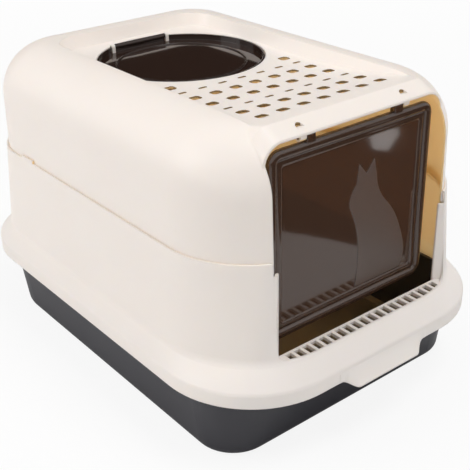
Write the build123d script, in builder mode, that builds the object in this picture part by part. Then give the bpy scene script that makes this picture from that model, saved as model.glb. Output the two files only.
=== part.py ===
from build123d import *
import os
from math import radians, tan

os.makedirs("parts", exist_ok=True)

# A covered litter box: a dark tray, a two-part cream hood, a see-through flap in the front
# doorway and a see-through round lid in the roof. Millimetres. +Z is up, the front faces -Y,
# +X is on the right of someone who looks at the front, and the origin is the middle of the
# tray's underside.

# Tray
TRAY_H = 95.0
TRAY_HALF_X = 177.0
TRAY_HALF_Y = 240.0
TRAY_FRONT_R = 46.0
TRAY_REAR_R = 70.0
TRAY_LEAN = 6.5
TRAY_WALL = 2.6
TRAY_FLANGE_T = 3.0
TRAY_EDGE_R = 11.0
TRAY_INNER_BEVEL = 5.0
FLANGE_GAP = 1.0

# Hood rim and lower hood
WALL = 2.5
RIM_HALF_X = 200.0
RIM_HALF_Y = 287.0
RIM_R = 110.0
RIM_BOTTOM = 81.0
LIP_TOP = 97.0
LIP_EDGE_R = 5.0
LEDGE_IN = 8.0
FLARE_TOP = 119.0
FLARE_FOOT_R = 13.0
WALL_LEAN = 4.3
SEAM_Z = 226.0
SEAM_HALF_X = 180.0
SEAM_FRONT = -262.0
SEAM_REAR = 254.0
SEAM_FRONT_R = 104.0
SEAM_REAR_R = 88.0

# Snap tab in each side seam
SNAP_Y = 133.0
SNAP_LEN = 27.0
SNAP_H = 3.6
SNAP_T = 2.2

# Upper hood
LAP = 12.0
LAP_GAP = 0.3
LAP_LEDGE = 3.5
TOP_Z = 350.0
DOME_LEAN = 1.4
SHOULDER_R = 62.0

# Sunk roof panel
RECESS_HALF_X = 110.5
RECESS_REAR = 177.0
RECESS_R = 34.0
RECESS_SLOPE_IN = 7.0
PANEL_Z = 335.5
PANEL_RISE_Y = -38.0
PANEL_FRONT = -217.0

# Portal round the doorway, under the visor
DOOR_HALF_X = 121.0
DOOR_CORNER_R = 20.0
PORTAL_T = 2.6
PORTAL_BACK = -140.0
VISOR_EDGE_Y = -236.5
VISOR_EDGE_Z = 340.0
CHEEK_STRAIGHT_Z = 285.0
CHEEK_BEND_Z = 262.0
CHEEK_BEND_OUT = 2.5
CHEEK_SEAM_Y = -246.5
CHEEK_FOOT_OUT = 2.0

# Doorway in the lower hood
LOWER_DOOR_HALF_X = 123.5
SILL_Z = 119.0
SILL_CORNER_R = 9.0
SILL_INNER_Y = -251.0
SILL_TUCK = 2.0
JAMB_INNER_X = 116.0
JAMB_INNER_Y = -248.0
JAMB_STEP = 8.0

# Grate in the sill
SLOT_COUNT = 20
SLOT_PITCH = 11.3
SLOT_W = 7.4
SLOT_LEN = 17.0
SLOT_Y = -262.5
GRATE_T = 6.0

# Grip tab on the front rim
TAB_HALF_TOP = 65.0
TAB_HALF_BOTTOM = 44.0
TAB_BOTTOM_Z = 70.0
TAB_FRONT_Y = -300.0
TAB_WAIST_OUT = 4.0
TAB_WAIST_Z = 86.5
TAB_CORNER_R = 8.0

# Vents in the sunk panel: length along X, width along Y and corner bevel
VENT_PITCH = 27.2
VENT_COLUMNS = 7
VENT_LARGE = (13.0, 11.5, 2.4)
VENT_SMALL = (11.0, 4.4, 1.4)
LARGE_ROWS = (-186.0, -157.0, -108.5, -79.4)
SMALL_ROWS = (-134.0, -56.0)
END_ROW = -34.0

# Hatch in the roof
HATCH_Y = 58.0
HATCH_R = 100.6
COLLAR_T = 2.2
COLLAR_BOTTOM = 324.0
LEDGE_Z = 326.0
LEDGE_R = 95.0
POCKET_FRONT_Y = 134.0
POCKET_HALF_X = 44.0

# Hatch lid, hinged near its rear edge on pins level with its top
LID_R = 99.8
LID_TOP = 335.0
LID_BOTTOM = 326.1
LID_T = 2.2
LID_RING_R = 78.0
LID_RING_T = 2.0
LID_RING_BEAD = 1.3
LID_AXIS_Y = 148.0
LID_AXIS_Z = 335.0
LID_BARREL_R = 3.0
LID_BARREL_HALF = 37.4
LID_PIN_R = 1.6
LID_EAR_R = 3.4
LID_EAR_X0 = 38.0
LID_EAR_X1 = 42.5
LID_NOTCH_X1 = 43.2
LID_NOTCH_FRONT_Y = 143.4
FINGER_R = 11.0
FINGER_LIP = 2.0

# Flap
FLAP_HALF_X = 113.0
FLAP_BOTTOM = 122.0
FLAP_TOP = 328.5
FLAP_Y = -229.0
FLAP_T = 2.2
FLAP_CORNER_R = 14.0
FLAP_INNER_R = 2.5
RIM_BAND = 10.0
RIM_PROUD = 1.6
STEP_BAND = 17.0
STEP_PROUD = 0.8
CAT_PROUD = 0.5
FLAP_AXIS_Y = -229.5
FLAP_AXIS_Z = 334.0
FLAP_PIN_R = 1.8
KNUCKLE_R = 3.6
KNUCKLE_X0 = 55.0
KNUCKLE_X1 = 66.0
KNUCKLE_ROOT = 2.0
LUG_R = 4.0
LUG_X0 = 67.0
LUG_X1 = 75.0
PIN_CLEARANCE = 0.05

# Round dimples in the visor, over the lugs
DIMPLE_R = 4.5
DIMPLE_DEPTH = 1.0
DIMPLE_Y = -228.0


def section(z, half_x, front, rear, front_r, rear_r):
    """One level of a shell: a rectangle whose front and rear corners have their own radii."""
    with BuildSketch(Plane.XY.offset(z)) as level:
        with BuildLine():
            right = Line((half_x, front + front_r), (half_x, rear - rear_r))
            turn = TangentArc(right @ 1, (half_x - rear_r, rear), tangent=(0, 1))
            back = Line(turn @ 1, (rear_r - half_x, rear))
            turn = TangentArc(back @ 1, (-half_x, rear - rear_r), tangent=(-1, 0))
            left = Line(turn @ 1, (-half_x, front + front_r))
            turn = TangentArc(left @ 1, (front_r - half_x, front), tangent=(0, -1))
            near = Line(turn @ 1, (half_x - front_r, front))
            TangentArc(near @ 1, right @ 0, tangent=(1, 0))
        make_face()
    return level.sketch


def rim_level(z, inset=0.0):
    """The hood's rim outline, drawn in by an inset."""
    edge = RIM_HALF_Y - inset
    return section(z, RIM_HALF_X - inset, -edge, edge, RIM_R - inset, RIM_R - inset)


def wall_level(z, inset=0.0):
    """The lower hood's wall outline, which leans in evenly up to the seam."""
    out = (SEAM_Z - z) * tan(radians(WALL_LEAN)) - inset
    return section(
        z,
        SEAM_HALF_X + out,
        SEAM_FRONT - out,
        SEAM_REAR + out,
        SEAM_FRONT_R + out,
        SEAM_REAR_R + out,
    )


def tray_level(z, inset):
    """The tray's outline, which widens evenly upwards."""
    out = z * tan(radians(TRAY_LEAN)) - inset
    edge = TRAY_HALF_Y + out
    return section(z, TRAY_HALF_X + out, -edge, edge, TRAY_FRONT_R + out, TRAY_REAR_R + out)


# Tray: a pan with an even lean and a flat flange that carries the hood's rim
with BuildPart() as tray_inside:
    loft([tray_level(TRAY_WALL, TRAY_WALL), tray_level(TRAY_H + 1, TRAY_WALL)], ruled=True)
    chamfer(tray_inside.faces().sort_by(Axis.Z)[0].edges(), TRAY_INNER_BEVEL)

with BuildPart() as litter_tray:
    loft([tray_level(0, 0), tray_level(TRAY_H - TRAY_FLANGE_T / 2, 0)], ruled=True)
    fillet(litter_tray.faces().sort_by(Axis.Z)[0].edges(), TRAY_EDGE_R)
    extrude(rim_level(TRAY_H - TRAY_FLANGE_T, WALL + FLANGE_GAP), amount=TRAY_FLANGE_T)
    add(tray_inside.part, mode=Mode.SUBTRACT)

# Lower hood: a lip over the tray's flange, a flare up to the wall, and the doorway's lower half
with BuildPart() as lower_form:
    extrude(rim_level(RIM_BOTTOM), amount=LIP_TOP - RIM_BOTTOM)
    loft([rim_level(LIP_TOP), wall_level(FLARE_TOP)], ruled=True)
    loft([wall_level(FLARE_TOP), wall_level(SEAM_Z)], ruled=True)
    fillet(lower_form.edges().filter_by_position(Axis.Z, LIP_TOP - 1, LIP_TOP + 1), LIP_EDGE_R)
    fillet(lower_form.edges().filter_by_position(Axis.Z, FLARE_TOP - 1, FLARE_TOP + 1), FLARE_FOOT_R)

with BuildPart() as lower_core:
    extrude(rim_level(RIM_BOTTOM, WALL), amount=TRAY_H - RIM_BOTTOM)
    loft([rim_level(TRAY_H, WALL + LEDGE_IN), wall_level(FLARE_TOP, WALL)], ruled=True)
    loft([wall_level(FLARE_TOP, WALL), wall_level(SEAM_Z + 1, WALL)], ruled=True)

with BuildPart() as lap_ledge:
    lap_foot = SEAM_Z - LAP
    extrude(wall_level(lap_foot, WALL / 2), amount=-LAP_LEDGE)
    extrude(wall_level(lap_foot, WALL + LAP_LEDGE), amount=-LAP_LEDGE, mode=Mode.SUBTRACT)

with BuildPart() as sill:
    with BuildSketch(Plane.XY.offset(SILL_Z - GRATE_T)):
        with Locations((0, (SILL_INNER_Y - RIM_HALF_Y) / 2)):
            Rectangle(2 * (LOWER_DOOR_HALF_X + SILL_TUCK), RIM_HALF_Y + SILL_INNER_Y)
    extrude(amount=GRATE_T)
    add(lower_form.part, mode=Mode.INTERSECT)
    with BuildSketch(Plane.XY.offset(SILL_Z - GRATE_T)):
        with Locations((0, SLOT_Y)):
            with GridLocations(SLOT_PITCH, 1, SLOT_COUNT, 1):
                Rectangle(SLOT_W, SLOT_LEN)
    extrude(amount=GRATE_T, mode=Mode.SUBTRACT)

with BuildPart() as jambs:
    with BuildSketch(Plane.XY.offset(SILL_Z - GRATE_T)):
        with BuildLine():
            Polyline(
                (LOWER_DOOR_HALF_X, -RIM_HALF_Y),
                (LOWER_DOOR_HALF_X + WALL, -RIM_HALF_Y),
                (LOWER_DOOR_HALF_X + WALL, JAMB_INNER_Y - JAMB_STEP + WALL),
                (JAMB_INNER_X + WALL, JAMB_INNER_Y),
                (JAMB_INNER_X, JAMB_INNER_Y),
                (JAMB_INNER_X, JAMB_INNER_Y - SILL_TUCK),
                (LOWER_DOOR_HALF_X, JAMB_INNER_Y - JAMB_STEP),
                close=True,
            )
        make_face()
        mirror(about=Plane.YZ)
    extrude(amount=lap_foot - SILL_Z + GRATE_T - 1)
    add(lower_form.part, mode=Mode.INTERSECT)

with BuildPart() as grip_tab:
    with BuildSketch(Plane.YZ):
        with BuildLine():
            outer = Spline(
                (-RIM_HALF_Y + 0.3, LIP_TOP - LIP_EDGE_R),
                (-RIM_HALF_Y - TAB_WAIST_OUT, TAB_WAIST_Z),
                (TAB_FRONT_Y, TAB_BOTTOM_Z),
                tangents=[(0, -1), (-0.75, -1)],
            )
            inner = Spline(
                (TAB_FRONT_Y + WALL, TAB_BOTTOM_Z),
                (-RIM_HALF_Y - TAB_WAIST_OUT + WALL, TAB_WAIST_Z),
                (-RIM_HALF_Y + WALL, LIP_TOP - LIP_EDGE_R),
                tangents=[(0.75, 1), (0, 1)],
            )
            Line(outer @ 1, inner @ 0)
            Line(inner @ 1, outer @ 0)
        make_face()
    extrude(amount=TAB_HALF_TOP, both=True)
    with BuildSketch(Plane.XZ) as tab_outline:
        with BuildLine():
            Polyline(
                (-TAB_HALF_TOP, LIP_TOP),
                (-TAB_HALF_TOP, RIM_BOTTOM),
                (-TAB_HALF_BOTTOM, TAB_BOTTOM_Z - 1),
                (TAB_HALF_BOTTOM, TAB_BOTTOM_Z - 1),
                (TAB_HALF_TOP, RIM_BOTTOM),
                (TAB_HALF_TOP, LIP_TOP),
                close=True,
            )
        make_face()
        fillet(tab_outline.vertices().group_by(Axis.Y)[0], TAB_CORNER_R)
    extrude(amount=2 * RIM_HALF_Y, both=True, mode=Mode.INTERSECT)

with BuildPart() as lower_hood:
    add(lower_form.part)
    add(lower_core.part, mode=Mode.SUBTRACT)
    add(lap_ledge.part)
    with BuildSketch(Plane.XZ) as doorway:
        with Locations((0, SEAM_Z)):
            Rectangle(2 * LOWER_DOOR_HALF_X, 2 * (SEAM_Z - SILL_Z))
        fillet(doorway.vertices().group_by(Axis.Y)[0], SILL_CORNER_R)
    extrude(amount=2 * RIM_HALF_Y, mode=Mode.SUBTRACT)
    add(sill.part)
    add(jambs.part)
    add(grip_tab.part)
    with BuildSketch(Plane.XY.offset(SEAM_Z - 1)):
        with Locations((-SEAM_HALF_X + SNAP_T / 2, SNAP_Y), (SEAM_HALF_X - SNAP_T / 2, SNAP_Y)):
            Rectangle(SNAP_T, SNAP_LEN)
    extrude(amount=SNAP_H + 1)


# Upper hood: a dome with a sunk roof panel, and a portal that stands out round the doorway
def dome_level(z, inset):
    """The dome's outline, which leans in evenly and fits inside the lower hood's lap."""
    skin = WALL + LAP_GAP + (z - SEAM_Z) * tan(radians(DOME_LEAN)) + inset
    return section(
        z,
        SEAM_HALF_X - skin,
        SEAM_FRONT + skin,
        SEAM_REAR - skin,
        SEAM_FRONT_R - skin,
        SEAM_REAR_R - skin,
    )


def dome(inset):
    """Leaning walls that roll over a broad shoulder to a flat top."""
    with BuildPart() as form:
        loft([dome_level(SEAM_Z - LAP, inset), dome_level(TOP_Z - inset, inset)], ruled=True)
        fillet(form.faces().sort_by(Axis.Z)[-1].edges(), SHOULDER_R - inset)
    return form.part


def recess_level(z, grow):
    """The sunk panel's outline, which widens upwards to the crest."""
    out = (z - TOP_Z) * RECESS_SLOPE_IN / (TOP_Z - PANEL_Z) + grow
    front = PANEL_FRONT - 2 * RECESS_R
    return section(z, RECESS_HALF_X + out, front, RECESS_REAR + out, RECESS_R + out, RECESS_R + out)


def recess(grow):
    """The space over the sunk panel: flat over the hatch, rising in an arc to the visor."""
    floor = PANEL_Z - grow
    above = TOP_Z + SHOULDER_R
    with BuildPart() as space:
        loft([recess_level(PANEL_Z - 2 * WALL, grow), recess_level(TOP_Z + 1, grow)], ruled=True)
        with BuildSketch(Plane.YZ):
            with BuildLine():
                flat = Line((RIM_HALF_Y, floor), (PANEL_RISE_Y, floor))
                rise = TangentArc(flat @ 1, (PANEL_FRONT, TOP_Z - grow), tangent=(-1, 0))
                Polyline(rise @ 1, (PANEL_FRONT - 1, above), (RIM_HALF_Y, above), flat @ 0)
            make_face()
        extrude(amount=RIM_HALF_X, both=True, mode=Mode.INTERSECT)
    return space.part


def arch(y, top, shrink):
    """The portal seen from the front: upright cheeks and rounded upper corners."""
    low = SEAM_Z - LAP
    high = top - shrink
    with BuildSketch(Plane.XZ.offset(-y)) as view:
        with Locations((0, (low + high) / 2)):
            Rectangle(2 * (DOOR_HALF_X + PORTAL_T - shrink), high - low)
        fillet(view.vertices().group_by(Axis.Y)[-1], DOOR_CORNER_R + PORTAL_T - shrink)
    return view.sketch


def portal(shrink, reach):
    """The arch under the visor, with cheeks that flare forward to the seam."""
    slope = (TOP_Z - VISOR_EDGE_Z) / (PANEL_FRONT - VISOR_EDGE_Y)
    front = VISOR_EDGE_Y - reach
    low = SEAM_Z - LAP
    with BuildPart() as form:
        extrude(arch(PORTAL_BACK, TOP_Z, shrink), amount=PORTAL_BACK - PANEL_FRONT)
        visor_edge = arch(front, VISOR_EDGE_Z - slope * reach, shrink)
        loft([arch(PANEL_FRONT, TOP_Z, shrink), visor_edge], ruled=True)
        with BuildSketch(Plane.YZ):
            with BuildLine():
                Polyline(
                    (PORTAL_BACK, CHEEK_STRAIGHT_Z),
                    (PORTAL_BACK, low),
                    (CHEEK_SEAM_Y - CHEEK_FOOT_OUT - reach, low),
                    (CHEEK_SEAM_Y - reach, SEAM_Z),
                    (VISOR_EDGE_Y - CHEEK_BEND_OUT - reach, CHEEK_BEND_Z),
                    (front, CHEEK_STRAIGHT_Z),
                    close=True,
                )
            make_face()
        extrude(amount=DOOR_HALF_X + PORTAL_T - shrink, both=True)
    return form.part


def disc(radius, z):
    """A round outline over the middle of the hatch, at one height."""
    with BuildSketch(Plane.XY.offset(z)) as outline:
        with Locations((0, HATCH_Y)):
            Circle(radius)
    return outline.sketch


def vent_row(size, y, columns):
    """A row of vents under the panel, as a sketch."""
    with BuildSketch(Plane.XY.offset(COLLAR_BOTTOM - LAP)) as row:
        with Locations((0, y)):
            with GridLocations(VENT_PITCH * (VENT_COLUMNS - 1) / (columns - 1), 1, columns, 1):
                Rectangle(size[0], size[1])
        chamfer(row.vertices(), size[2])
    return row.sketch


def hinge_ear(y, z, radius, root_z, x0, x1):
    """An upright ear with a round end on an axis along X, on the +X side."""
    with BuildPart() as ear:
        with BuildSketch(Plane.YZ.offset(x0)):
            with Locations((y, z)):
                Circle(radius)
            with Locations((y, (z + root_z) / 2)):
                Rectangle(2 * radius, abs(root_z - z))
        extrude(amount=x1 - x0)
    return ear.part


def cross_pin(y, z, radius, x0, x1):
    """A round bar along X."""
    with BuildPart() as bar:
        with BuildSketch(Plane.YZ.offset(x0)):
            with Locations((y, z)):
                Circle(radius)
        extrude(amount=x1 - x0)
    return bar.part


with BuildPart() as upper_core:
    add(dome(WALL))
    add(portal(PORTAL_T, RIM_HALF_Y + VISOR_EDGE_Y))
    add(recess(WALL), mode=Mode.SUBTRACT)

with BuildPart() as flap_lug:
    add(hinge_ear(FLAP_AXIS_Y, FLAP_AXIS_Z, LUG_R, VISOR_EDGE_Z + 1.5, LUG_X0, LUG_X1))
    pin_hole = cross_pin(FLAP_AXIS_Y, FLAP_AXIS_Z, FLAP_PIN_R + PIN_CLEARANCE, LUG_X0, LUG_X1)
    add(pin_hole, mode=Mode.SUBTRACT)
    mirror(about=Plane.YZ)

with BuildPart() as lid_ear:
    add(hinge_ear(LID_AXIS_Y, LID_AXIS_Z, LID_EAR_R, COLLAR_BOTTOM, LID_EAR_X0, LID_EAR_X1))
    mirror(about=Plane.YZ)

with BuildPart() as lid_pin_holes:
    lid_hole_r = LID_PIN_R + PIN_CLEARANCE
    add(cross_pin(LID_AXIS_Y, LID_AXIS_Z, lid_hole_r, LID_EAR_X0, LID_EAR_X1 + LAP_GAP))
    mirror(about=Plane.YZ)

with BuildPart() as hatch_collar:
    extrude(disc(HATCH_R + COLLAR_T, COLLAR_BOTTOM), amount=PANEL_Z - WALL / 2 - COLLAR_BOTTOM)
    extrude(disc(HATCH_R, LEDGE_Z), amount=PANEL_Z, mode=Mode.SUBTRACT)
    extrude(disc(LEDGE_R, COLLAR_BOTTOM), amount=PANEL_Z, mode=Mode.SUBTRACT)
    with BuildSketch(Plane.XY.offset(COLLAR_BOTTOM)):
        with Locations((0, HATCH_Y)):
            Circle(HATCH_R)
        with Locations((0, POCKET_FRONT_Y + HATCH_R / 2)):
            Rectangle(2 * POCKET_HALF_X, HATCH_R, mode=Mode.INTERSECT)
    extrude(amount=PANEL_Z, mode=Mode.SUBTRACT)

with BuildPart() as upper_hood:
    add(dome(0))
    add(portal(0, 0))
    add(recess(0), mode=Mode.SUBTRACT)
    add(upper_core.part, mode=Mode.SUBTRACT)
    extrude(disc(HATCH_R, COLLAR_BOTTOM), amount=TOP_Z, mode=Mode.SUBTRACT)
    for row_y in LARGE_ROWS:
        extrude(vent_row(VENT_LARGE, row_y, VENT_COLUMNS), amount=RECESS_R, mode=Mode.SUBTRACT)
    for row_y in SMALL_ROWS:
        extrude(vent_row(VENT_SMALL, row_y, VENT_COLUMNS), amount=RECESS_R, mode=Mode.SUBTRACT)
    extrude(vent_row(VENT_LARGE, END_ROW, 2), amount=RECESS_R, mode=Mode.SUBTRACT)
    dimple_z = TOP_Z - (PANEL_FRONT - DIMPLE_Y) * (TOP_Z - VISOR_EDGE_Z) / (PANEL_FRONT - VISOR_EDGE_Y)
    with BuildSketch(Plane.XY.offset(dimple_z - DIMPLE_DEPTH)):
        with Locations((-(LUG_X0 + LUG_X1) / 2, DIMPLE_Y), ((LUG_X0 + LUG_X1) / 2, DIMPLE_Y)):
            Circle(DIMPLE_R)
    extrude(amount=RECESS_R, mode=Mode.SUBTRACT)
    add(hatch_collar.part)
    add(lid_ear.part)
    add(lid_pin_holes.part, mode=Mode.SUBTRACT)
    add(flap_lug.part)

# Hatch lid: a shallow round dish with a ring bead, a hinge rib and a notch for a finger
with BuildPart() as hatch_lid:
    extrude(disc(LID_R, LID_BOTTOM), amount=LID_TOP - LID_BOTTOM)
    extrude(disc(LID_R - LID_T, LID_BOTTOM + LID_T), amount=LID_TOP, mode=Mode.SUBTRACT)
    ring = disc(LID_RING_R, LID_BOTTOM + LID_T) - disc(LID_RING_R - LID_RING_T, LID_BOTTOM + LID_T)
    extrude(ring, amount=LID_RING_BEAD)
    with BuildSketch(Plane.XY.offset(LID_BOTTOM + LID_T + FINGER_LIP)):
        with Locations((0, HATCH_Y - LID_R)):
            Circle(FINGER_R)
    extrude(amount=LID_TOP, mode=Mode.SUBTRACT)
    with BuildSketch(Plane.XY.offset(LID_BOTTOM)):
        with Locations((0, LID_AXIS_Y)):
            Rectangle(2 * LID_BARREL_HALF, LID_T)
    extrude(amount=LID_AXIS_Z - LID_BOTTOM)
    with BuildSketch(Plane.XY.offset(COLLAR_BOTTOM)):
        with Locations(((LID_BARREL_HALF + LID_NOTCH_X1) / 2, LID_NOTCH_FRONT_Y + HATCH_R / 2)):
            Rectangle(LID_NOTCH_X1 - LID_BARREL_HALF, HATCH_R)
        mirror(about=Plane.YZ)
    extrude(amount=TOP_Z - COLLAR_BOTTOM, mode=Mode.SUBTRACT)
    add(cross_pin(LID_AXIS_Y, LID_AXIS_Z, LID_BARREL_R, -LID_BARREL_HALF, LID_BARREL_HALF))
    add(cross_pin(LID_AXIS_Y, LID_AXIS_Z, LID_PIN_R, -LID_EAR_X1, LID_EAR_X1))


# Flap: a see-through sheet with a stepped frame and a sitting cat in low relief
def flap_outline(inset):
    """The flap's outline, drawn in by an inset, as a sketch on the sheet's front face."""
    with BuildSketch(Plane.XZ.offset(-FLAP_Y + FLAP_T / 2)) as outline:
        with Locations((0, (FLAP_BOTTOM + FLAP_TOP) / 2)):
            RectangleRounded(
                2 * (FLAP_HALF_X - inset),
                FLAP_TOP - FLAP_BOTTOM - 2 * inset,
                max(FLAP_CORNER_R - inset, FLAP_INNER_R),
            )
    return outline.sketch


with BuildPart() as knuckle:
    knuckle_foot = FLAP_TOP - KNUCKLE_ROOT
    add(hinge_ear(FLAP_AXIS_Y, FLAP_AXIS_Z, KNUCKLE_R, knuckle_foot, KNUCKLE_X0, KNUCKLE_X1))
    add(cross_pin(FLAP_AXIS_Y, FLAP_AXIS_Z, FLAP_PIN_R, KNUCKLE_X1 - KNUCKLE_ROOT, LUG_X1))
    mirror(about=Plane.YZ)

with BuildPart() as front_flap:
    extrude(flap_outline(0), amount=-FLAP_T)
    extrude(flap_outline(0) - flap_outline(RIM_BAND), amount=RIM_PROUD)
    extrude(flap_outline(RIM_BAND) - flap_outline(STEP_BAND), amount=STEP_PROUD)
    with BuildSketch(Plane.XZ.offset(-FLAP_Y + FLAP_T / 2)):
        with BuildLine():
            Spline((10, 141), (13, 182), (8, 214), (0, 234), (-3, 243), (1, 256), (6, 262))
            Polyline((6, 262), (9, 284), (20, 271), (31, 285), (36, 262))
            Spline((36, 262), (42, 244), (62, 219), (79, 185), (85, 158), (79, 141))
            Line((79, 141), (10, 141))
        make_face()
    extrude(amount=CAT_PROUD)
    add(knuckle.part)

litter_tray.part.label = "litter_tray"
lower_hood.part.label = "lower_hood"
upper_hood.part.label = "upper_hood"
hatch_lid.part.label = "hatch_lid"
front_flap.part.label = "front_flap"

export_step(litter_tray.part, "parts/litter_tray.step")
export_step(lower_hood.part, "parts/lower_hood.step")
export_step(upper_hood.part, "parts/upper_hood.step")
export_step(hatch_lid.part, "parts/hatch_lid.step")
export_step(front_flap.part, "parts/front_flap.step")
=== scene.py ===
# %% [markdown]
# # A covered litter box
#
# The object is a moulded plastic box for a house cat: a dark tray, a cream hood in two parts,
# a smoked see-through flap in the doorway and a smoked round lid in the roof. The shapes come
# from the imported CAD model, which stays where it is. This file gives each piece its plastic,
# replaces one plain tab by a smooth one, rounds the flap's frame, sets up the light, and puts
# a camera where the photographer stood. Lengths are in metres, as Blender has them, except
# where a name ends in MM.

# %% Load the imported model
import math
import bmesh
import bpy
from mathutils import Matrix, Vector


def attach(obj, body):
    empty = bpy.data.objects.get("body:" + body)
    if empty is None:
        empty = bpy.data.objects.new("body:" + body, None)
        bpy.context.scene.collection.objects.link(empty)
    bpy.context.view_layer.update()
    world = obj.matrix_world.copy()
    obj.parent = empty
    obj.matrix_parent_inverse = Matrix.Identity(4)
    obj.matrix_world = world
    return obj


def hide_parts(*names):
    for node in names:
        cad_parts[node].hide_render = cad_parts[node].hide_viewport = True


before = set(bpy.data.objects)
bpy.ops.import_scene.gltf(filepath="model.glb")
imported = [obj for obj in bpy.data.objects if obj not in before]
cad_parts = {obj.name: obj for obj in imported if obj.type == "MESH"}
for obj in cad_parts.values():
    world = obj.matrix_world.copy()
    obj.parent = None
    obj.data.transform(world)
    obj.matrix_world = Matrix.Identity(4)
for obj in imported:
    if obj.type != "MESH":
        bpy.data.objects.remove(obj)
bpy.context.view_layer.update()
scene = bpy.context.scene
print("nodes:", sorted(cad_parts))

# %% [markdown]
# ## Small helpers for colours and nodes
#
# A designer names a plastic's colour as a hex code, which is in sRGB, while Blender's shaders
# work in linear light. One function does that step for every colour in this file, with the
# sRGB standard's own numbers. A second one adds a shader node with its settings and its links,
# so that each material reads as a list. A Mix node has a set of sockets for each kind of data,
# and Blender tells them apart by number, so the four colour ones get names here.

# %% Colour and node helpers
MIX_SHARE, MIX_FIRST, MIX_SECOND, MIX_RESULT = 0, 6, 7, 2


def linear(hex_code):
    """An sRGB hex code as a linear RGBA colour."""
    values = [int(hex_code[i:i + 2], 16) / 255 for i in (1, 3, 5)]
    return [v / 12.92 if v <= 0.04045 else ((v + 0.055) / 1.055) ** 2.4 for v in values] + [1.0]


def add_node(tree, kind, inputs=None, **settings):
    """Adds a node. Each input is a plain value or another node's output."""
    made = tree.nodes.new(kind)
    for name, value in settings.items():
        setattr(made, name, value)
    for name, value in (inputs or {}).items():
        if isinstance(value, bpy.types.NodeSocket):
            tree.links.new(value, made.inputs[name])
        else:
            made.inputs[name].default_value = value
    return made


def new_material(name):
    """An empty node material with its output, ready for a shader."""
    material = bpy.data.materials.new(name)
    material.use_nodes = True
    material.node_tree.nodes.clear()
    return material, add_node(material.node_tree, "ShaderNodeOutputMaterial")


def per_mm(size):
    """A texture scale that repeats once every so many millimetres."""
    return 1000.0 / size


print("cream in linear light:", [round(v, 3) for v in linear("#EEE6E0")])

# %% [markdown]
# ## Zones on a moulding
#
# One moulding can need more than one colour: the same hood is cream outside, and an amber glow is
# painted on inside.
# It could be split into pieces, but its mesh is shared with the CAD model and stays whole. So
# a zone is found by where a point lies and which way its face looks. Each test compares one
# number with a limit and gives 1 or 0, and the tests of a zone are multiplied, so that the
# zone is 1 only where all of them pass.

# %% A zone from a list of tests
def zone(tree, tests):
    """1 where every test passes, and 0 elsewhere. A test is (value, comparison, limit)."""
    inside = 1.0
    for value, comparison, limit in tests:
        passed = add_node(tree, "ShaderNodeMath", {0: value, 1: limit}, operation=comparison)
        both = add_node(tree, "ShaderNodeMath", {0: passed.outputs[0], 1: inside},
                        operation="MULTIPLY")
        inside = both.outputs[0]
    return inside


ABOVE, BELOW = "GREATER_THAN", "LESS_THAN"
print("comparisons:", ABOVE, BELOW)

# %% [markdown]
# ## Cream polypropylene: painted glow and painted shade
#
# Light that has come through the hood's walls is a warm amber, and the faces that look into
# the cabin show it, so an amber glow is painted into their colour. They look towards the middle
# of the cabin and not upwards, or they are a ceiling. The door's front stays cream, although it
# looks the same way. Two more zones are small and deep, so little light gets out of them, and
# their shade is painted: the lower half of the slots in the sill, and the sides of the vents in
# the roof, where the painted shade is warm. The limits are the places of these features in the
# CAD model.

# %% The hood's zones
CABIN_CENTRE = (0.0, -0.19, 0.26)
HATCH_CENTRE = (0.0, 0.058, 0.330)
HATCH_COLLAR_R = 0.1022
PANEL_UNDERSIDE_Z = 0.3345
SILL_UNDERSIDE_Z = 0.112
SLOT_SHADE_Z = 0.1153
SLOT_FRONT_Y, SLOT_BACK_Y = -0.2715, -0.2535
VENTS_REACH_X = 0.112
VENTS_FRONT_Y, VENTS_BACK_Y = -0.225, -0.015
VENTS_BOTTOM_Z = 0.325
DOOR_FRONT_Y = -0.2475
SEAM_Z = 0.226
LOOKS_DOWN = -0.3
LOOKS_UP = 0.3
LOOKS_LEVEL = 0.02
LOOKS_INWARDS = -0.0005


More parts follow.
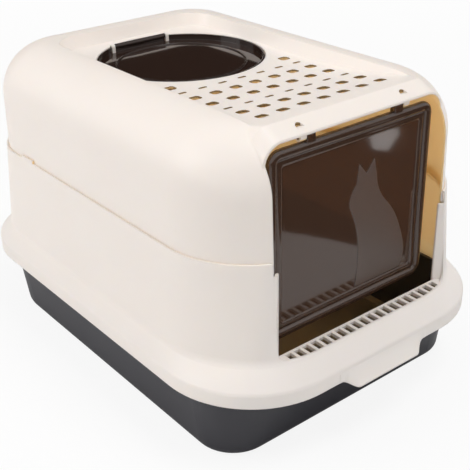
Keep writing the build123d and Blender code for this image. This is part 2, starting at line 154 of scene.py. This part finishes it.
def hood_zones(tree, place):
    """The shares of the painted cabin glow, the painted vent shade and the painted slot shade on
    the hood.
    """
    at = add_node(tree, "ShaderNodeSeparateXYZ", {0: place.outputs["Object"]})
    facing = add_node(tree, "ShaderNodeSeparateXYZ", {0: place.outputs["Normal"]})
    outwards = add_node(tree, "ShaderNodeVectorMath", {
        0: place.outputs["Object"], 1: CABIN_CENTRE}, operation="SUBTRACT")
    towards = add_node(tree, "ShaderNodeVectorMath", {
        0: outwards.outputs[0], 1: place.outputs["Normal"]},
        operation="DOT_PRODUCT").outputs["Value"]
    from_hatch = add_node(tree, "ShaderNodeVectorMath", {
        0: place.outputs["Object"], 1: HATCH_CENTRE},
        operation="DISTANCE").outputs["Value"]
    x, y, z = (at.outputs[axis] for axis in "XYZ")
    up = facing.outputs["Z"]
    walls = zone(tree, (
        (towards, BELOW, LOOKS_INWARDS), (up, BELOW, LOOKS_LEVEL),
        (z, BELOW, PANEL_UNDERSIDE_Z), (from_hatch, ABOVE, HATCH_COLLAR_R)))
    ceiling = zone(tree, ((up, BELOW, LOOKS_DOWN), (z, ABOVE, SILL_UNDERSIDE_Z)))
    slots = zone(tree, (
        (z, BELOW, SLOT_SHADE_Z), (up, BELOW, LOOKS_UP), (z, ABOVE, SILL_UNDERSIDE_Z),
        (y, ABOVE, SLOT_FRONT_Y), (y, BELOW, SLOT_BACK_Y)))
    vents = zone(tree, (
        (x, BELOW, VENTS_REACH_X), (x, ABOVE, -VENTS_REACH_X),
        (y, ABOVE, VENTS_FRONT_Y), (y, BELOW, VENTS_BACK_Y), (z, ABOVE, VENTS_BOTTOM_Z),
        (up, BELOW, LOOKS_UP), (up, ABOVE, LOOKS_DOWN), (from_hatch, ABOVE, HATCH_COLLAR_R)))
    door_front = zone(tree, ((y, BELOW, DOOR_FRONT_Y), (z, BELOW, SEAM_Z)))
    indoors = add_node(tree, "ShaderNodeMath", {0: walls, 1: ceiling}, operation="MAXIMUM")
    cabin = add_node(tree, "ShaderNodeMath", {0: indoors.outputs[0], 1: door_front},
                     operation="SUBTRACT", use_clamp=True)
    return cabin.outputs[0], vents, slots


print("vents between y", VENTS_FRONT_Y, "and", VENTS_BACK_Y)

# %% [markdown]
# ## Cream polypropylene: the finish
#
# The hood is injection-moulded polypropylene, a soft, slightly waxy plastic. Its steel mould
# was lightly spark-eroded, which leaves a fine satin grain. The grain is about 0.3 mm, too
# fine for this picture, so it is drawn at 1.1 mm with very little height. As the melt flows
# and cools, its colour varies a little over a hand's width. Polypropylene lets some light
# through a 2.5 mm wall. The walls are real solids here, so a translucent shader is added on
# both of their faces, which carries that light into the cabin. A bevel in the normal softens
# the edges as the mould's own small radii do.

# %% The hood's plastic
HOOD_FLOW_MM = 140
HOOD_GRAIN_MM = 1.1
HOOD_EDGE_R = 0.0020
GRAIN_DEPTH = 0.00008


def cream_polypropylene():
    """Satin cream outside, with an amber glow painted where light comes through into the cabin,
    and painted shade in the vents and slots.
    """
    material, output = new_material("cream_polypropylene_satin")
    tree = material.node_tree
    place = add_node(tree, "ShaderNodeTexCoord")
    cabin, vents, slots = hood_zones(tree, place)
    flow = add_node(tree, "ShaderNodeTexNoise", {
        "Vector": place.outputs["Object"], "Scale": per_mm(HOOD_FLOW_MM), "Detail": 2.0})
    colour = add_node(tree, "ShaderNodeMix", {
        MIX_SHARE: flow.outputs["Fac"], MIX_FIRST: linear("#EEE6E0"),
        MIX_SECOND: linear("#F2ECE7")}, data_type="RGBA")
    # Painted light: an amber glow on the cabin's faces, and painted shade in the vents and the
    # slots.
    for share, painted_light_tone in ((cabin, "#D9BE90"), (vents, "#7A6238"), (slots, "#A8977A")):
        colour = add_node(tree, "ShaderNodeMix", {
            MIX_SHARE: share, MIX_FIRST: colour.outputs[MIX_RESULT],
            MIX_SECOND: linear(painted_light_tone)}, data_type="RGBA")
    through = add_node(tree, "ShaderNodeMix", {
        MIX_SHARE: cabin, MIX_FIRST: linear("#4A4742"),
        MIX_SECOND: linear("#AAA28E")}, data_type="RGBA")
    grain = add_node(tree, "ShaderNodeTexNoise", {
        "Vector": place.outputs["Object"], "Scale": per_mm(HOOD_GRAIN_MM), "Detail": 1.0})
    rough = add_node(tree, "ShaderNodeMapRange", {
        "Value": grain.outputs["Fac"], "To Min": 0.36, "To Max": 0.48})
    edge = add_node(tree, "ShaderNodeBevel", {"Radius": HOOD_EDGE_R}, samples=6)
    bump = add_node(tree, "ShaderNodeBump", {
        "Strength": 0.12, "Distance": GRAIN_DEPTH, "Height": grain.outputs["Fac"],
        "Normal": edge.outputs[0]})
    skin = add_node(tree, "ShaderNodeBsdfPrincipled", {
        "Base Color": colour.outputs[MIX_RESULT], "Roughness": rough.outputs[0],
        "Normal": bump.outputs[0], "IOR": 1.49, "Subsurface Weight": 0.12,
        "Subsurface Radius": (1.0, 0.7, 0.4), "Subsurface Scale": 0.003})
    glow = add_node(tree, "ShaderNodeBsdfTranslucent", {"Color": through.outputs[MIX_RESULT]})
    wall = add_node(tree, "ShaderNodeAddShader", {0: skin.outputs[0], 1: glow.outputs[0]})
    tree.links.new(wall.outputs[0], output.inputs["Surface"])
    return material


hood_plastic = cream_polypropylene()
for node_name in ("lower_hood", "upper_hood"):
    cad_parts[node_name].data.materials[0] = hood_plastic
print("hood plastic on: lower_hood, upper_hood")

# %% [markdown]
# ## The grip tab: taking the plain one off
#
# Two fingers lift the hood by a tab on its front rim. On the real box the rim simply runs
# down into it: there is no crease above, and both ends sweep out in an S. The solid has a
# plainer tab with straight ends. A CAD mesh is never changed, so the lower hood is shown by a
# copy of its own mesh with the plain tab's faces taken off. The gap that they leave is
# covered by the smooth tab of the next cells.

# %% The lower hood without its plain tab
RIM_FACE_Y = -0.287
RIM_BOTTOM_Z = 0.081
RIM_BACK_Y = -0.28
PLAIN_TAB_REACH_X = 0.068
HAIR = 0.0001


def is_plain_tab(face):
    """Whether a face belongs to the plain tab: in front of the rim or below it."""
    middle = face.calc_center_median()
    in_front = middle.y < RIM_FACE_Y - HAIR / 2
    below = middle.z < RIM_BOTTOM_Z - HAIR
    return abs(middle.x) < PLAIN_TAB_REACH_X and middle.y < RIM_BACK_Y and (in_front or below)


def lower_hood_without_tab():
    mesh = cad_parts["lower_hood"].data.copy()
    mesh.name = "lower_hood_shell"
    shape = bmesh.new()
    shape.from_mesh(mesh)
    plain = [face for face in shape.faces if is_plain_tab(face)]
    bmesh.ops.delete(shape, geom=plain, context="FACES")
    shape.to_mesh(mesh)
    shape.free()
    print("faces taken off:", len(plain), "of", len(plain) + len(mesh.polygons))
    return bpy.data.objects.new("lower_hood_shell", mesh)


shell = lower_hood_without_tab()
scene.collection.objects.link(shell)
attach(shell, "hood_base")
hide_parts("lower_hood")

# %% [markdown]
# ## From a bmesh to a piece
#
# The smooth tab and the flap's ribs are both built face by face in a bmesh, which is
# Blender's mesh for editing. One helper turns it into an object: it makes the faces point
# outwards, shades them smoothly, and keeps an edge sharp where its two faces meet at more
# than a given angle, as they do at the tab's lower edge.

# %% A smooth piece from a bmesh
def smooth_piece(name, shape, plastic, sharp_degrees):
    bmesh.ops.recalc_face_normals(shape, faces=shape.faces)
    mesh = bpy.data.meshes.new(name)
    shape.to_mesh(mesh)
    shape.free()
    for face in mesh.polygons:
        face.use_smooth = True
    mesh.set_sharp_from_angle(angle=math.radians(sharp_degrees))
    mesh.materials.append(plastic)
    piece = bpy.data.objects.new(name, mesh)
    scene.collection.objects.link(piece)
    print(name + ":", [round(v * 1000, 1) for v in piece.dimensions], "mm,",
          len(mesh.polygons), "faces")
    return piece


def smooth_step(value):
    """Rises from 0 to 1 with no corner at either end."""
    value = min(max(value, 0.0), 1.0)
    return value * value * (3 - 2 * value)


print("half way up the step:", smooth_step(0.5))

# %% [markdown]
# ## The grip tab: drawing the smooth one
#
# The tab is a grid of points, and each column of it follows the rim's face down and swells
# outwards. A sweep factor fades the columns into the rim over the last 19 mm at both ends,
# which draws the S. Above, the grid lies a hair in front of the rim and then tucks in behind
# it, so that no edge of it shows. A second grid 1.8 mm behind the first gives the tab its
# thickness, and the four borders are closed, so it is a whole solid.

# %% A point of the smooth tab
TAB_TOP_Z = 0.094
TAB_SWELL_Z = 0.092
TAB_BOTTOM_Z = 0.0715
TAB_OUT = 0.009
TAB_CURVE = 1.3
TAB_HALF_X = 0.0625
TAB_SWEEP = 0.019
TAB_WALL = 0.0018
TAB_SKIN = 0.00012
TAB_SKIN_TOP_Z, TAB_SKIN_FADE = 0.0932, 0.003
TAB_TUCK, TAB_TUCK_FADE = 0.0006, 0.002


def tab_point(x, share, inner):
    """A point of the tab: share runs from 0 at its top to 1 at its lower edge."""
    sweep = smooth_step((TAB_HALF_X - abs(x)) / TAB_SWEEP)
    bottom = RIM_BOTTOM_Z - HAIR + (TAB_BOTTOM_Z - RIM_BOTTOM_Z) * sweep
    z = TAB_TOP_Z + (bottom - TAB_TOP_Z) * share
    down = min(max((TAB_SWELL_Z - z) / (TAB_SWELL_Z - TAB_BOTTOM_Z), 0.0), 1.0)
    skin = TAB_SKIN * smooth_step((TAB_SKIN_TOP_Z - z) / TAB_SKIN_FADE)
    tuck = TAB_TUCK * smooth_step((z - TAB_SWELL_Z) / TAB_TUCK_FADE)
    y = RIM_FACE_Y - TAB_OUT * down ** TAB_CURVE * sweep - (skin - tuck)
    return (x, y + (TAB_WALL if inner else 0.0), z)


print("lowest point in the middle:", [round(v, 4) for v in tab_point(0.0, 1.0, False)])

# %% The smooth tab
TAB_COLUMNS = 72
TAB_ROWS = 20
TAB_END_MARGIN = 0.003


def grip_tab_shape():
    shape = bmesh.new()
    reach = TAB_HALF_X + TAB_END_MARGIN
    outer, inner = (
        [[shape.verts.new(tab_point(-reach + 2 * reach * i / TAB_COLUMNS, j / TAB_ROWS, is_inner))
          for j in range(TAB_ROWS + 1)] for i in range(TAB_COLUMNS + 1)]
        for is_inner in (False, True))
    for i in range(TAB_COLUMNS):
        for j in range(TAB_ROWS):
            shape.faces.new((outer[i][j], outer[i][j + 1], outer[i + 1][j + 1], outer[i + 1][j]))
            shape.faces.new((inner[i][j], inner[i + 1][j], inner[i + 1][j + 1], inner[i][j + 1]))
        for j in (0, TAB_ROWS):
            shape.faces.new((outer[i][j], outer[i + 1][j], inner[i + 1][j], inner[i][j]))
    for i in (0, TAB_COLUMNS):
        for j in range(TAB_ROWS):
            shape.faces.new((outer[i][j], outer[i][j + 1], inner[i][j + 1], inner[i][j]))
    return shape


grip_tab = smooth_piece("grip_tab", grip_tab_shape(), hood_plastic, sharp_degrees=40)
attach(grip_tab, "hood_base")

# %% [markdown]
# ## Charcoal polypropylene
#
# The tray is the same polymer with carbon black in it, from a mould with a finer polish, so
# that litter and a scoop slide over it. It reads as a dark blue-grey that picks up soft
# light along its side. Its grain is finer still than the hood's, and it is drawn at 1 mm so
# that it shows at all. Sliding over the floor leaves faint pale rubs near its foot, a few
# millimetres long. The inside of its floor is painted a lighter, browner grey, which stands in
# for the warm light that falls on it from the cabin. Both are drawn by height: the rubs are a
# noise that fades out 14 mm up, and the tray's floor is the low face that looks up.

# %% The tray's plastic
TRAY_RUB_MM = 4.0
TRAY_GRAIN_MM = 1.0
TRAY_EDGE_R = 0.0008
RUBS_END_Z = 0.014
TRAY_FLOOR_Z = 0.08


def charcoal_polypropylene():
    """Carbon black, with rubs at the foot and a lighter, browner floor: painted warm light from
    the cabin.
    """
    material, output = new_material("charcoal_polypropylene_moulded")
    tree = material.node_tree
    place = add_node(tree, "ShaderNodeTexCoord")
    at = add_node(tree, "ShaderNodeSeparateXYZ", {0: place.outputs["Object"]})
    foot = add_node(tree, "ShaderNodeMapRange", {
        "Value": at.outputs["Z"], "From Min": 0.0, "From Max": RUBS_END_Z,
        "To Min": 1.0, "To Max": 0.0})
    rubs = add_node(tree, "ShaderNodeTexNoise", {
        "Vector": place.outputs["Object"], "Scale": per_mm(TRAY_RUB_MM), "Detail": 5.0})
    rub_edge = add_node(tree, "ShaderNodeMapRange", {
        "Value": rubs.outputs["Fac"], "From Min": 0.52, "From Max": 0.7, "To Max": 0.5})
    worn = add_node(tree, "ShaderNodeMath", {
        0: rub_edge.outputs[0], 1: foot.outputs[0]}, operation="MULTIPLY")
    outer = add_node(tree, "ShaderNodeMix", {
        MIX_SHARE: worn.outputs[0], MIX_FIRST: linear("#2E2D33"),
        MIX_SECOND: linear("#5B5960")}, data_type="RGBA")
    facing = add_node(tree, "ShaderNodeSeparateXYZ", {0: place.outputs["Normal"]})
    looks_up = add_node(tree, "ShaderNodeMapRange", {
        "Value": facing.outputs["Z"], "From Min": 0.3, "From Max": 0.8})
    # The tray's floor gets a lighter, browner grey: painted warm light from the cabin.
    painted_floor_light = add_node(tree, "ShaderNodeMath", {
        0: looks_up.outputs[0], 1: zone(tree, ((at.outputs["Z"], BELOW, TRAY_FLOOR_Z),))},
        operation="MULTIPLY")
    colour = add_node(tree, "ShaderNodeMix", {
        MIX_SHARE: painted_floor_light.outputs[0], MIX_FIRST: outer.outputs[MIX_RESULT],
        MIX_SECOND: linear("#524C46")}, data_type="RGBA")
    grain = add_node(tree, "ShaderNodeTexNoise", {
        "Vector": place.outputs["Object"], "Scale": per_mm(TRAY_GRAIN_MM), "Detail": 1.0})
    rough = add_node(tree, "ShaderNodeMapRange", {
        "Value": grain.outputs["Fac"], "To Min": 0.34, "To Max": 0.44})
    edge = add_node(tree, "ShaderNodeBevel", {"Radius": TRAY_EDGE_R}, samples=4)
    bump = add_node(tree, "ShaderNodeBump", {
        "Strength": 0.1, "Distance": GRAIN_DEPTH, "Height": grain.outputs["Fac"],
        "Normal": edge.outputs[0]})
    shader = add_node(tree, "ShaderNodeBsdfPrincipled", {
        "Base Color": colour.outputs[MIX_RESULT], "Roughness": rough.outputs[0],
        "Normal": bump.outputs[0], "IOR": 1.49})
    tree.links.new(shader.outputs[0], output.inputs["Surface"])
    return material


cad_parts["litter_tray"].data.materials[0] = charcoal_polypropylene()
print("tray plastic on: litter_tray")

# %% [markdown]
# ## Smoked polystyrene
#
# The flap and the lid are clear polystyrene with a brown-black dye, from a polished mould.
# They are glossy and dark: the dye takes nearly all of the light that comes from the cabin,
# so most of what shows is the dye's own brown and the reflections on top. The cat on the
# flap stands half a millimetre proud and its face is lightly frosted, so it shows as a paler,
# softer patch. The frost is found by depth, because only the cat's face lies between the
# panel and the frame. The lid lies flat under the sky, which a polished face would mirror at
# this low angle, and the real one is finely matt there, so its specular level is low. A
# moulded sheet is never quite flat, so a very low wave, 45 mm long, bends the reflections.

# %% The flap's and the lid's plastic
CAT_FACE_BACK_Y, CAT_FACE_FRONT_Y = -0.23035, -0.23075
CAT_BOTTOM_Z = 0.1405
CAT_RIGHT_X = 0.0951
SHEET_WAVE_MM = 45
SHEET_WAVE_DEPTH = 0.0004


def smoked_polystyrene(name, dye, frosted, gloss, clearness, edge_radius):
    """Dyed clear plastic with a polished face, and a frosted one on the cat."""
    material, output = new_material(name)
    tree = material.node_tree
    place = add_node(tree, "ShaderNodeTexCoord")
    at = add_node(tree, "ShaderNodeSeparateXYZ", {0: place.outputs["Object"]})
    cat_face = zone(tree, (
        (at.outputs["Y"], BELOW, CAT_FACE_BACK_Y), (at.outputs["Y"], ABOVE, CAT_FACE_FRONT_Y),
        (at.outputs["Z"], ABOVE, CAT_BOTTOM_Z), (at.outputs["X"], BELOW, CAT_RIGHT_X)))
    colour = add_node(tree, "ShaderNodeMix", {
        MIX_SHARE: cat_face, MIX_FIRST: linear(dye),
        MIX_SECOND: linear(frosted)}, data_type="RGBA")
    wave = add_node(tree, "ShaderNodeTexNoise", {
        "Vector": place.outputs["Object"], "Scale": per_mm(SHEET_WAVE_MM), "Detail": 1.0})
    rough = add_node(tree, "ShaderNodeMapRange", {
        "Value": cat_face, "To Min": 0.06, "To Max": 0.34})
    edge = add_node(tree, "ShaderNodeBevel", {"Radius": edge_radius}, samples=8)
    bump = add_node(tree, "ShaderNodeBump", {
        "Strength": 0.25, "Distance": SHEET_WAVE_DEPTH, "Height": wave.outputs["Fac"],
        "Normal": edge.outputs[0]})
    shader = add_node(tree, "ShaderNodeBsdfPrincipled", {
        "Base Color": colour.outputs[MIX_RESULT], "Roughness": rough.outputs[0],
        "Normal": bump.outputs[0], "IOR": 1.59, "Specular IOR Level": gloss,
        "Transmission Weight": clearness})
    tree.links.new(shader.outputs[0], output.inputs["Surface"])
    return material


flap_plastic = smoked_polystyrene(
    "smoked_polystyrene_flap", dye="#5F4638", frosted="#78655C",
    gloss=0.5, clearness=0.5, edge_radius=0.0020)
lid_plastic = smoked_polystyrene(
    "smoked_polystyrene_lid", dye="#33251F", frosted="#33251F",
    gloss=0.3, clearness=0.1, edge_radius=0.0010)
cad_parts["front_flap"].data.materials[0] = flap_plastic
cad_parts["hatch_lid"].data.materials[0] = lid_plastic
print("smoked plastic on: front_flap, hatch_lid")

# %% [markdown]
# ## The flap's rounded frame
#
# A thin sheet bends, so the flap's mould gives it a frame of two soft ribs: a fat one round
# the outside and a thin one inside it. In the solid they are flat steps. What the eye reads
# is their roundness, because each rib gathers a long line of light. A bevel on the solid's
# edges can't turn a 10 mm band into a round one, so each rib is swept here: a half ellipse
# that just encloses its step, carried round the flap's rounded outline.

# %% The path of a rib
FLAP_HALF_X = 0.113
FLAP_BOTTOM_Z, FLAP_TOP_Z = 0.122, 0.3285
FLAP_CORNER_R = 0.014
RIB_CORNER_R = 0.0025
FLAP_FACE_Y = -0.2301
RIB_BACK_Y = -0.2283
CORNER_STEPS = 10
ARC_STEPS = 16


def outline_stations():
    """Each station of the flap's outline: which corner it turns round, and how far."""
    for quarter in range(4):
        for step in range(CORNER_STEPS + 1):
            turn = math.pi / 2 * (quarter + step / CORNER_STEPS)
            yield 1 if quarter in (0, 3) else -1, 1 if quarter in (0, 1) else -1, turn


def outline_point(side_x, side_z, turn, inset):
    """Where a station lies, so many metres inside the flap's outline."""
    radius = max(FLAP_CORNER_R - inset, RIB_CORNER_R)
    centre_z = (FLAP_BOTTOM_Z + FLAP_TOP_Z) / 2
    half_z = (FLAP_TOP_Z - FLAP_BOTTOM_Z) / 2
    x = side_x * (FLAP_HALF_X - inset - radius) + radius * math.cos(turn)
    z = centre_z + side_z * (half_z - inset - radius) + radius * math.sin(turn)
    return x, z


print("stations round the flap:", len(list(outline_stations())))

# %% The two ribs
def flap_rib(name, middle, half_width, height):
    """A closed ring round the flap: a half ellipse in front, and flat inside the sheet."""
    arc = [math.pi * i / ARC_STEPS for i in range(ARC_STEPS + 1)]
    profile = [(middle - half_width * math.cos(angle), FLAP_FACE_Y - height * math.sin(angle))
               for angle in arc]
    profile += [(middle + half_width, RIB_BACK_Y), (middle - half_width, RIB_BACK_Y)]
    shape = bmesh.new()
    rings = []
    for station in outline_stations():
        ring = []
        for inset, y in profile:
            x, z = outline_point(*station, inset)
            ring.append(shape.verts.new((x, y, z)))
        rings.append(ring)
    for ring, following in zip(rings, rings[1:] + rings[:1]):
        for i in range(len(profile)):
            j = (i + 1) % len(profile)
            shape.faces.new((ring[i], ring[j], following[j], following[i]))
    rib = smooth_piece(name, shape, flap_plastic, sharp_degrees=50)
    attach(rib, "flap")


flap_rib("flap_outer_rib", middle=0.0050, half_width=0.0056, height=0.00355)
flap_rib("flap_inner_rib", middle=0.0136, half_width=0.0042, height=0.00145)

# %% [markdown]
# ## The floor
#
# The photograph is a catalogue picture on a white ground with hardly any shadow. The floor
# here is a real plane of pale paper, so the box keeps its contact shadow. To the camera most
# of what it shows is plain white, and all of it is from 2.5 m away, so that no horizon is
# seen. The light that it throws back on the box is still that of plain paper.

# %% The paper floor
FLOOR_SIZE = 12.0
FLOOR_Z = -0.0005
WHITE_NEAR, WHITE_FAR = 0.88, 1.0
NEAR, FAR = 0.8, 2.5

bpy.ops.mesh.primitive_plane_add(size=FLOOR_SIZE, location=(0.0, 0.0, FLOOR_Z))
floor = bpy.context.object
floor.name = "studio_floor"
paper, paper_output = new_material("white_paper_floor")
tree = paper.node_tree
matt = add_node(tree, "ShaderNodeBsdfDiffuse", {"Color": linear("#F4F4F4")})
white = add_node(tree, "ShaderNodeEmission", {"Color": linear("#FFFFFF"), "Strength": 1.0})
place = add_node(tree, "ShaderNodeTexCoord")
away = add_node(tree, "ShaderNodeVectorMath", {0: place.outputs["Object"]}, operation="LENGTH")
whiteness = add_node(tree, "ShaderNodeMapRange", {
    "Value": away.outputs["Value"], "From Min": NEAR, "From Max": FAR,
    "To Min": WHITE_NEAR, "To Max": WHITE_FAR})
ray = add_node(tree, "ShaderNodeLightPath")
seen = add_node(tree, "ShaderNodeMath", {
    0: ray.outputs["Is Camera Ray"], 1: whiteness.outputs[0]}, operation="MULTIPLY")
surface = add_node(tree, "ShaderNodeMixShader", {
    0: seen.outputs[0], 1: matt.outputs[0], 2: white.outputs[0]})
tree.links.new(surface.outputs[0], paper_output.inputs["Surface"])
floor.data.materials.append(paper)
print("floor in m:", [round(v, 2) for v in floor.dimensions])

# %% [markdown]
# ## Cards for the flap and the lid
#
# A glossy panel shows its surroundings more than its own colour. In the photograph the upper
# right of the flap mirrors a dark part of the studio, the lower left mirrors the white
# ground, and one bright window stands near the top. A photographer sets that up with cards
# beside the object. The flap mirrors the floor in front of the box, so a black card lies
# there and a small bright one on it. The lid mirrors what stands behind the box, so a second
# black card stands there. Only reflections see them: the camera and the soft light pass
# through, and the floor stays white.

# %% A studio card
def studio_card(name, corners, shader_kind, shader_inputs):
    """A flat card, which only mirror-like surfaces see."""
    mesh = bpy.data.meshes.new(name)
    mesh.from_pydata(corners, [], [list(range(len(corners)))])
    card = bpy.data.objects.new(name, mesh)
    scene.collection.objects.link(card)
    material, output = new_material(name + "_face")
    face = add_node(material.node_tree, shader_kind, shader_inputs)
    material.node_tree.links.new(face.outputs[0], output.inputs["Surface"])
    mesh.materials.append(material)
    card.visible_camera = card.visible_diffuse = card.visible_shadow = False
    card.visible_transmission = card.visible_volume_scatter = False
    print(name, "has", len(corners), "corners")


# %% The three cards
BLACK = ("ShaderNodeBsdfDiffuse", {"Color": linear("#0A0A0A")})
BRIGHT = ("ShaderNodeEmission", {"Color": linear("#FFFFFF"), "Strength": 2.2})
FLOOR_CARD_Z = 0.001
WINDOW_CARD_Z = 0.003

studio_card("floor_card", [
    (x, y, FLOOR_CARD_Z) for x, y in (
        (-0.877, -3.0), (4.0, -3.0), (4.0, -0.35), (0.327, -0.35))], *BLACK)
studio_card("rear_card", [
    (-0.9, 3.2, 0.3), (3.0, 0.2, 0.3), (3.0, 0.2, 3.0), (-0.9, 3.2, 3.0)], *BLACK)
studio_card("window_card", [
    (x, y, WINDOW_CARD_Z) for x, y in (
        (0.614, -0.779), (0.685, -0.766), (0.656, -0.734), (0.575, -0.691),
        (0.564, -0.721))], *BRIGHT)

# %% [markdown]
# ## The studio's light
#
# A pale room gives even light from all sides. The world does that here at half strength, and
# it looks plain white to the camera, in reflections and through the smoked plastic. Three
# soft boxes shape the box: a large one on the left models the shoulders and lights the cabin
# through the left wall, one above lights the roof and the sill, and a weak one in front
# keeps the doorway from going black. Together they light it at about the level where a
# colour comes out as it was written.

# %% The world
WORLD_LIGHT, WORLD_SEEN = 0.5, 1.0

world = bpy.data.worlds.new("studio_white")
scene.world = world
world.use_nodes = True
tree = world.node_tree
tree.nodes.clear()
sky_output = add_node(tree, "ShaderNodeOutputWorld")
ray = add_node(tree, "ShaderNodeLightPath")
direct = ray.outputs["Is Camera Ray"]
for other in ("Is Glossy Ray", "Is Transmission Ray"):
    either = add_node(tree, "ShaderNodeMath", {0: direct, 1: ray.outputs[other]},
                      operation="MAXIMUM")
    direct = either.outputs[0]
strength = add_node(tree, "ShaderNodeMapRange", {
    "Value": direct, "To Min": WORLD_LIGHT, "To Max": WORLD_SEEN})
sky = add_node(tree, "ShaderNodeBackground", {
    "Color": linear("#FFFFFF"), "Strength": strength.outputs[0]})
tree.links.new(sky.outputs[0], sky_output.inputs["Surface"])
print("world:", world.name)

# %% The three soft boxes
def soft_light(name, at, towards, size, watts):
    """A square soft box that looks at a point."""
    data = bpy.data.lights.new(name, "AREA")
    data.shape = "SQUARE"
    data.size = size
    data.energy = watts
    lamp = bpy.data.objects.new(name, data)
    scene.collection.objects.link(lamp)
    lamp.location = at
    lamp.rotation_euler = (Vector(towards) - Vector(at)).to_track_quat("-Z", "Y").to_euler()
    print(name, "gives", watts, "W from", at)


soft_light("key_left", at=(-2.1, 1.0, 1.5), towards=(0.0, 0.0, 0.15), size=1.6, watts=22.0)
soft_light("top_soft", at=(0.3, -0.9, 2.5), towards=(0.0, -0.1, 0.2), size=0.9, watts=23.0)
soft_light("fill_front", at=(0.9, -2.2, 1.2), towards=(0.0, 0.0, 0.2), size=1.4, watts=1.5)

# %% [markdown]
# ## Camera
#
# The camera's place and lens were worked out beforehand by fitting the box's straight edges
# to the photograph. Two of its axes are written here as they came out of that fit, right and
# the way it looks, and the third follows from them. The lens is worked out for a picture 470
# pixels square. The Standard view transform shows a colour as it was rendered.

# %% The camera
CAMERA_AT = (-0.61258, -0.81355, 0.64516)
CAMERA_RIGHT = Vector((0.7783, -0.6275, -0.0201)).normalized()
CAMERA_LOOK = Vector((0.5498, 0.6966, -0.4610)).normalized()
CAMERA_UP = CAMERA_RIGHT.cross(CAMERA_LOOK).normalized()
FOCAL_PX = 910.7
PICTURE_PX = 470
SENSOR_MM = 36.0

camera_data = bpy.data.cameras.new("catalogue_camera")
camera_data.sensor_width = SENSOR_MM
camera_data.lens = FOCAL_PX / PICTURE_PX * SENSOR_MM
camera = bpy.data.objects.new("catalogue_camera", camera_data)
scene.collection.objects.link(camera)
axes = Matrix((CAMERA_RIGHT, CAMERA_UP, -CAMERA_LOOK)).transposed()
camera.matrix_world = Matrix.Translation(CAMERA_AT) @ axes.to_4x4()
scene.camera = camera
scene.view_settings.view_transform = "Standard"
print("lens in mm:", round(camera_data.lens, 2))
